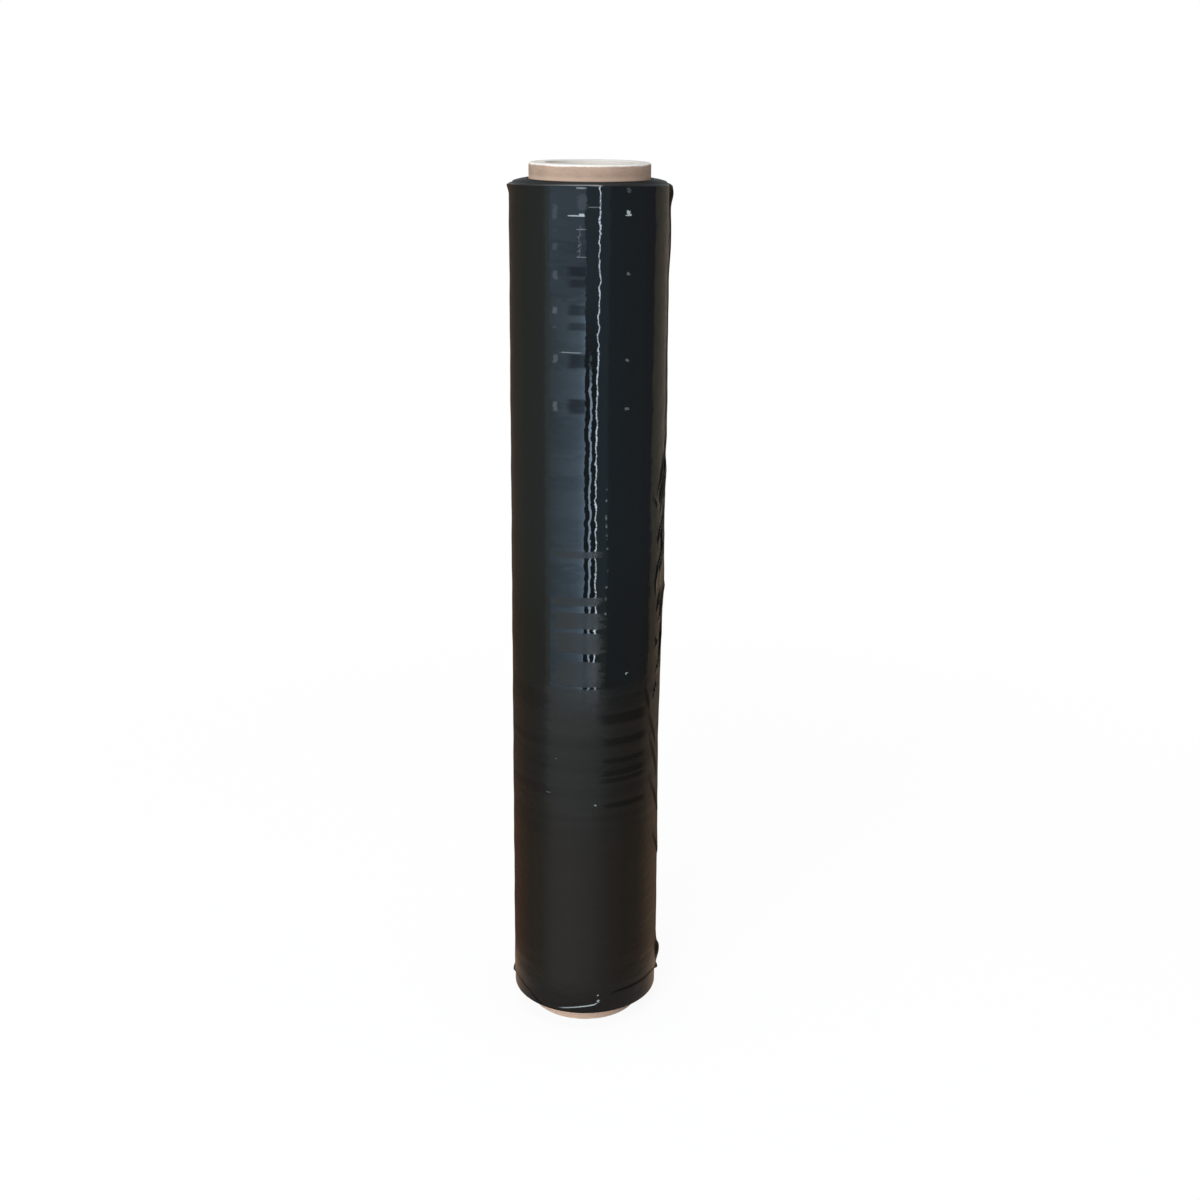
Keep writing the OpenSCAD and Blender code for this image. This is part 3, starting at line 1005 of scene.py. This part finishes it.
LOWER_CLOTH = (
    (-90, (0.11, 0.07, 0.05)), (-66, (0.22, 0.14, 0.10)), (-57, (0.24, 0.17, 0.12)),
    (-48, (0.23, 0.19, 0.15)), (-36, (0.32, 0.30, 0.25)), (-25, (0.52, 0.55, 0.54)),
    (-12, (0.56, 0.60, 0.61)), (6, (0.45, 0.49, 0.49)), (13, (0.35, 0.36, 0.34)),
    (30, (0.25, 0.23, 0.18)), (46, (0.22, 0.18, 0.14)), (56, (0.32, 0.26, 0.20)),
    (66, (0.34, 0.26, 0.19)), (78, (0.22, 0.16, 0.12)), (84, (0.05, 0.04, 0.03)),
    (90, (0.04, 0.03, 0.02)))
BACK_CLOTH = (0.34, 0.38, 0.42)
BACK_HALF_TURN = 26
CLOTH_WIDTH = 400
WHITE = (1.0, 1.0, 1.0)

# The lower cloth meets the upper one between two heights. Each gets warmer downwards, to a tint.
CLOTH_JOIN = (0.192, 0.214)
UPPER_WARMTH = ((0.89, 0.78, 0.68), (0.225, 0.31))
LOWER_WARMTH = ((1.10, 0.97, 0.87), (0.09, 0.15))

# Window in the tent, in the same way: it brightens to the right, but not in its upper part
WINDOW_FROM = -29
WINDOW_TO = -2.5
WINDOW_CLOTH = (
    (-30, (0.56, 0.77, 0.92)), (-14, (0.88, 1.24, 1.57)), (-7, (1.08, 1.55, 2.05)),
    (-4.2, (1.38, 2.02, 2.65)), (-2, (1.90, 2.80, 3.70)))
WINDOW_TOP = (0.68, 0.95, 1.20)
WINDOW_TOP_HEIGHTS = (0.435, 0.455)
WINDOW_BANDS = ((0.87, 0.88, 0.89), (1.12, 1.11, 1.10))

# Bar between the window and the strips, which is brighter in its upper part
BAR_TO = 6.5
BAR_TOP = (0.29, 0.45, 0.57)
BAR_TOP_HEIGHTS = (0.395, 0.46)

# Half the turn over which the edges of the window and the bar soften
WINDOW_LEFT_SOFT = 0.8
WINDOW_RIGHT_SOFT = 0.4
BAR_SOFT = 1.0

# Two thin strips of light in the tent: the angle on the roll that mirrors them, how far their
# edges waver, and how far from their line they are full and end. The long one leans over for a
# stretch, in degrees for each metre, and the short one ends there.
LONG_STRIP = (5.9, -1.6, 0.35, 0.9)
LONG_STRIP_COLOUR = (12.0, 14.2, 16.4)
LEAN = 38
LEAN_FROM = 0.385
LEAN_HEIGHT = 0.06
SHORT_STRIP = (1.5, 2.4, 0.9, 1.4)
SHORT_STRIP_COLOUR = (4.2, 5.6, 7.0)
SHORT_STRIP_END = (0.388, 0.415)

# Mat below the roll, and the angles between which it warms from the front to the sides
MAT_HEIGHT = 0.5 * MM
MAT_COLOUR = (0.30, 0.28, 0.25)
MAT_SIDE_COLOUR = (0.62, 0.42, 0.30)
MAT_SIDES = (50, 120)

# Soft card round the roll above its top: how bright it is by angle, up to its full strength
HOOD_RADIUS = 0.30
HOOD_FROM = 0.53
HOOD_TO = 1.20
HOOD_TINT = (0.93, 1.0, 1.04)
HOOD_STRENGTH = 8.0
HOOD_CARD = (
    (-180, 0.4), (-110, 0.5), (-84, 1.0), (-46, 3.2), (-17, 5.5), (16, 7.0), (19, 0.8), (60, 0.5),
    (180, 0.4))

FLOOR_RADIUS = 20
FLOOR_NEAR = 0.92
FLOOR_FADE = (0.25, 1.0)
WORLD_LIGHT = 0.25
WINDOW_LAMP_POWER = 25
WINDOW_LAMP_SIZE = 0.9
WINDOW_LAMP_DISTANCE = 1.5
WINDOW_LAMP_HEIGHT = 0.75
WINDOW_LAMP_TURN = -24
WINDOW_LAMP_TILT = 74
OVERHEAD_STRENGTH = 1.6
OVERHEAD_SPREAD = 50


def tent_angle(mirror_angle):
    """Angle round the tent of what the film mirrors to the front at an angle round the roll."""
    turn = math.radians(mirror_angle)
    start = MIRROR_RADIUS * Vector((math.sin(turn), -math.cos(turn)))
    ray = Vector((math.sin(2 * turn), -math.cos(2 * turn)))
    along = start.dot(ray)
    reach = math.sqrt(along ** 2 + TENT_RADIUS ** 2 - MIRROR_RADIUS ** 2) - along
    end = start + reach * ray
    return math.degrees(math.atan2(end.x, -end.y))


class Tent(Nodes):
    """Nodes for the glow of the cloth tent."""

    def panels(self, stops):
        """Panels round the tent from angles on the roll, with the same cloth at the back."""
        sides = [(0.5 + tent_angle(angle) / 360, colour) for angle, colour in stops]
        back = BACK_HALF_TURN / 360
        return self.ramp([(back, BACK_CLOTH), *sides, (1 - back, BACK_CLOTH)], self.turn / 360 + 0.5)

    def warmed(self, cloth, tint, heights):
        return self.tinted(cloth, self.colour_mix(self.step(self.height, *heights), tint, WHITE))

    def window(self):
        """Cloth of the window, with faint bands."""
        above = self.step(self.height, *WINDOW_TOP_HEIGHTS)
        bands = self.step(self.noise(CLOTH_WIDTH, 11, detail=3, roughness=0.6), 0.38, 0.62)
        cloth = self.colour_mix(above, self.panels(WINDOW_CLOTH), WINDOW_TOP)
        return self.tinted(cloth, self.colour_mix(bands, *WINDOW_BANDS))

    def upper_cloth(self):
        """The upper cloth with its bar and its window."""
        left, right, bar_end = (tent_angle(angle) for angle in (WINDOW_FROM, WINDOW_TO, BAR_TO))
        right_edge = (right - WINDOW_RIGHT_SOFT, right + WINDOW_RIGHT_SOFT)
        in_window = self.span(self.turn, left - WINDOW_LEFT_SOFT, left + WINDOW_LEFT_SOFT, *right_edge)
        in_bar = self.span(self.turn, *right_edge, bar_end - BAR_SOFT, bar_end + BAR_SOFT)
        cloth = self.warmed(self.panels(UPPER_CLOTH), *UPPER_WARMTH)
        cloth = self.colour_mix(in_bar * self.step(self.height, *BAR_TOP_HEIGHTS), cloth, BAR_TOP)
        return self.colour_mix(in_window, cloth, self.window())

    def strip(self, lean, angle, waver, full, end):
        """A thin upright strip with uneven edges, as a mask."""
        uneven = self.noise(CLOTH_WIDTH, 6, detail=4, roughness=0.75) - 0.5
        beside = self.math("ABSOLUTE", self.turn - (tent_angle(angle) + lean)) + waver * uneven
        return 1 - self.step(beside, full, end)

    def long_strip(self):
        above = self.math("MINIMUM", self.more(self.height - LEAN_FROM, 0.0), LEAN_HEIGHT)
        grain = self.step(self.noise(CLOTH_WIDTH, 1.8, detail=1), 0.36, 0.54)
        return self.strip(LEAN * above, *LONG_STRIP) * (0.35 + 0.65 * grain)

    def short_strip(self):
        return self.strip(0, *SHORT_STRIP) * (1 - self.step(self.height, *SHORT_STRIP_END))


def tent_material():
    """Glowing cloth, with a wide window on the left and two thin strips near the front."""
    material, tent = new_material("tent_cloth", Tent)
    is_upper = tent.step(tent.height, *CLOTH_JOIN)
    lower = tent.warmed(tent.panels(LOWER_CLOTH), *LOWER_WARMTH)
    cloth = tent.colour_mix(is_upper, lower, tent.upper_cloth())
    cloth = tent.colour_mix(tent.long_strip() * is_upper, cloth, LONG_STRIP_COLOUR)
    cloth = tent.colour_mix(tent.short_strip() * is_upper, cloth, SHORT_STRIP_COLOUR)
    tent.finish(tent.glow(cloth))
    return material


def hood_material():
    material, nodes = new_material("hood_card")
    stops = [((angle + 180) / 360, scaled(HOOD_TINT, level / HOOD_STRENGTH)) for angle, level in HOOD_CARD]
    nodes.finish(nodes.glow(nodes.ramp(stops, nodes.turn / 360 + 0.5), HOOD_STRENGTH))
    return material


def mat_material():
    material, nodes = new_material("mat_cloth")
    front = nodes.near(nodes.turn, 0, *MAT_SIDES)
    nodes.finish(nodes.glow(nodes.colour_mix(front, MAT_SIDE_COLOUR, MAT_COLOUR)))
    return material


def only_mirrored(thing, material):
    """Gives a card or cloth of the studio its material, and hides it from all but gloss."""
    thing.data.materials.append(material)
    for ray in ("camera", "diffuse", "shadow", "transmission"):
        setattr(thing, f"visible_{ray}", False)


def open_tube(name, radius, low, high):
    mesh = bmesh.new()
    bmesh.ops.create_cone(
        mesh, cap_ends=False, segments=180, radius1=radius, radius2=radius,
        depth=high - low, matrix=Matrix.Translation((0, 0, (low + high) / 2)))
    return lay_out(mesh, name)


def round_sheet(name, radius, height):
    mesh = bmesh.new()
    bmesh.ops.create_circle(
        mesh, cap_ends=True, segments=96, radius=radius, matrix=Matrix.Translation((0, 0, height)))
    return lay_out(mesh, name)


def add_light(name, kind, strength):
    """A light that the film doesn't mirror, and its lamp."""
    lamp = bpy.data.lights.new(name, kind)
    lamp.energy = strength
    light = bpy.data.objects.new(name, lamp)
    light.visible_glossy = False
    bpy.context.scene.collection.objects.link(light)
    return light, lamp


class WRAPROLL_OT_studio(bpy.types.Operator):
    """Make the floor, the lights, the world and the camera"""

    bl_idname = "wraproll.studio"
    bl_label = "Make the studio"

    def execute(self, context):
        studio = context.scene.wraproll_studio
        self.make_floor(studio)
        self.make_world(context.scene)
        self.make_tent()
        self.make_lights(studio)
        self.make_camera(context.scene, studio)
        context.scene.view_settings.view_transform = "Standard"
        return {"FINISHED"}

    def shown_share(self, nodes):
        """1 for what the camera, gloss and clear material see, and 0 for light on the object."""
        kinds = ("Is Camera Ray", "Is Glossy Ray", "Is Transmission Ray")
        seen, mirrored, through = (nodes.add("ShaderNodeLightPath", output=kind) for kind in kinds)
        return nodes.more(nodes.more(seen, mirrored), through)

    def make_floor(self, studio):
        floor = round_sheet("studio_floor", FLOOR_RADIUS, 0)
        material, nodes = new_material("studio_floor")
        paper = FLOOR_NEAR + (1 - FLOOR_NEAR) * nodes.step(nodes.radius, *FLOOR_FADE)
        nodes.finish(nodes.shader_mix(
            paper * self.shown_share(nodes), nodes.matt(studio.floor), nodes.glow(WHITE)))
        floor.data.materials.append(material)

    def make_world(self, scene):
        world = bpy.data.worlds.new("studio_world")
        world.use_nodes = True
        scene.world = world
        nodes = Nodes(world.node_tree)
        strength = WORLD_LIGHT + (1 - WORLD_LIGHT) * self.shown_share(nodes)
        backdrop = nodes.add("ShaderNodeBackground", None, {"Color": solid(WHITE), "Strength": strength})
        nodes.add("ShaderNodeOutputWorld", None, {"Surface": backdrop})

    def make_tent(self):
        only_mirrored(open_tube("studio_tent", TENT_RADIUS, MM, TENT_TOP), tent_material())
        only_mirrored(open_tube("studio_hood", HOOD_RADIUS, HOOD_FROM, HOOD_TO), hood_material())
        only_mirrored(round_sheet("studio_mat", TENT_RADIUS, MAT_HEIGHT), mat_material())

    def make_lights(self, studio):
        light, lamp = add_light("soft_window", "AREA", WINDOW_LAMP_POWER)
        lamp.shape = "SQUARE"
        lamp.size = WINDOW_LAMP_SIZE
        lamp.color = studio.window
        turn = math.radians(WINDOW_LAMP_TURN)
        ahead = Vector((math.sin(turn), -math.cos(turn), 0))
        light.location = WINDOW_LAMP_DISTANCE * ahead + Vector((0, 0, WINDOW_LAMP_HEIGHT))
        light.rotation_euler = (math.radians(WINDOW_LAMP_TILT), 0, turn)
        light.visible_camera = False
        sun, lamp = add_light("overhead", "SUN", OVERHEAD_STRENGTH)
        lamp.angle = math.radians(OVERHEAD_SPREAD)
        sun.location = (0, 0, 2)

    def make_camera(self, scene, studio):
        lens = bpy.data.cameras.new("camera")
        lens.lens = studio.lens
        lens.sensor_width = 36
        lens.sensor_height = 36
        lens.sensor_fit = "AUTO"
        lens.clip_start = 0.05
        lens.clip_end = 60
        camera = bpy.data.objects.new("camera", lens)
        turn = Matrix.Rotation(-studio.yaw, 4, "Z") @ Matrix.Rotation(math.pi / 2 - studio.pitch, 4, "X")
        turn = turn @ Matrix.Rotation(-studio.roll, 4, "Z")
        camera.matrix_world = Matrix.Translation((0, -studio.distance, studio.height)) @ turn
        scene.collection.objects.link(camera)
        scene.camera = camera


class WRAPROLL_PT_panel(bpy.types.Panel):
    """Lists the steps that make the roll, and its settings"""

    bl_label = "Wrap roll"
    bl_idname = "WRAPROLL_PT_panel"
    bl_space_type = "VIEW_3D"
    bl_region_type = "UI"
    bl_category = "Wrap roll"

    def draw(self, context):
        column = self.layout.column()
        for step in STEPS:
            column.operator(step.bl_idname)
        for group in GROUPS:
            settings = getattr(context.scene, group)
            for name in settings.bl_rna.properties.keys():
                if name not in ("rna_type", "name"):
                    column.prop(settings, name)


STEPS = (WRAPROLL_OT_core, WRAPROLL_OT_film, WRAPROLL_OT_studio)
GROUPS = {
    "wraproll_core": CoreSettings,
    "wraproll_film": FilmSettings,
    "wraproll_studio": StudioSettings,
}


def register():
    for cls in (*GROUPS.values(), *STEPS, WRAPROLL_PT_panel):
        bpy.utils.register_class(cls)
    for name, group in GROUPS.items():
        setattr(bpy.types.Scene, name, bpy.props.PointerProperty(type=group))


def unregister():
    for name in GROUPS:
        delattr(bpy.types.Scene, name)
    for cls in (WRAPROLL_PT_panel, *reversed(STEPS), *reversed(GROUPS.values())):
        bpy.utils.unregister_class(cls)


def main():
    register()
    bpy.ops.wraproll.core()
    bpy.ops.wraproll.film()
    bpy.ops.wraproll.studio()


if __name__ == "__main__":
    main()
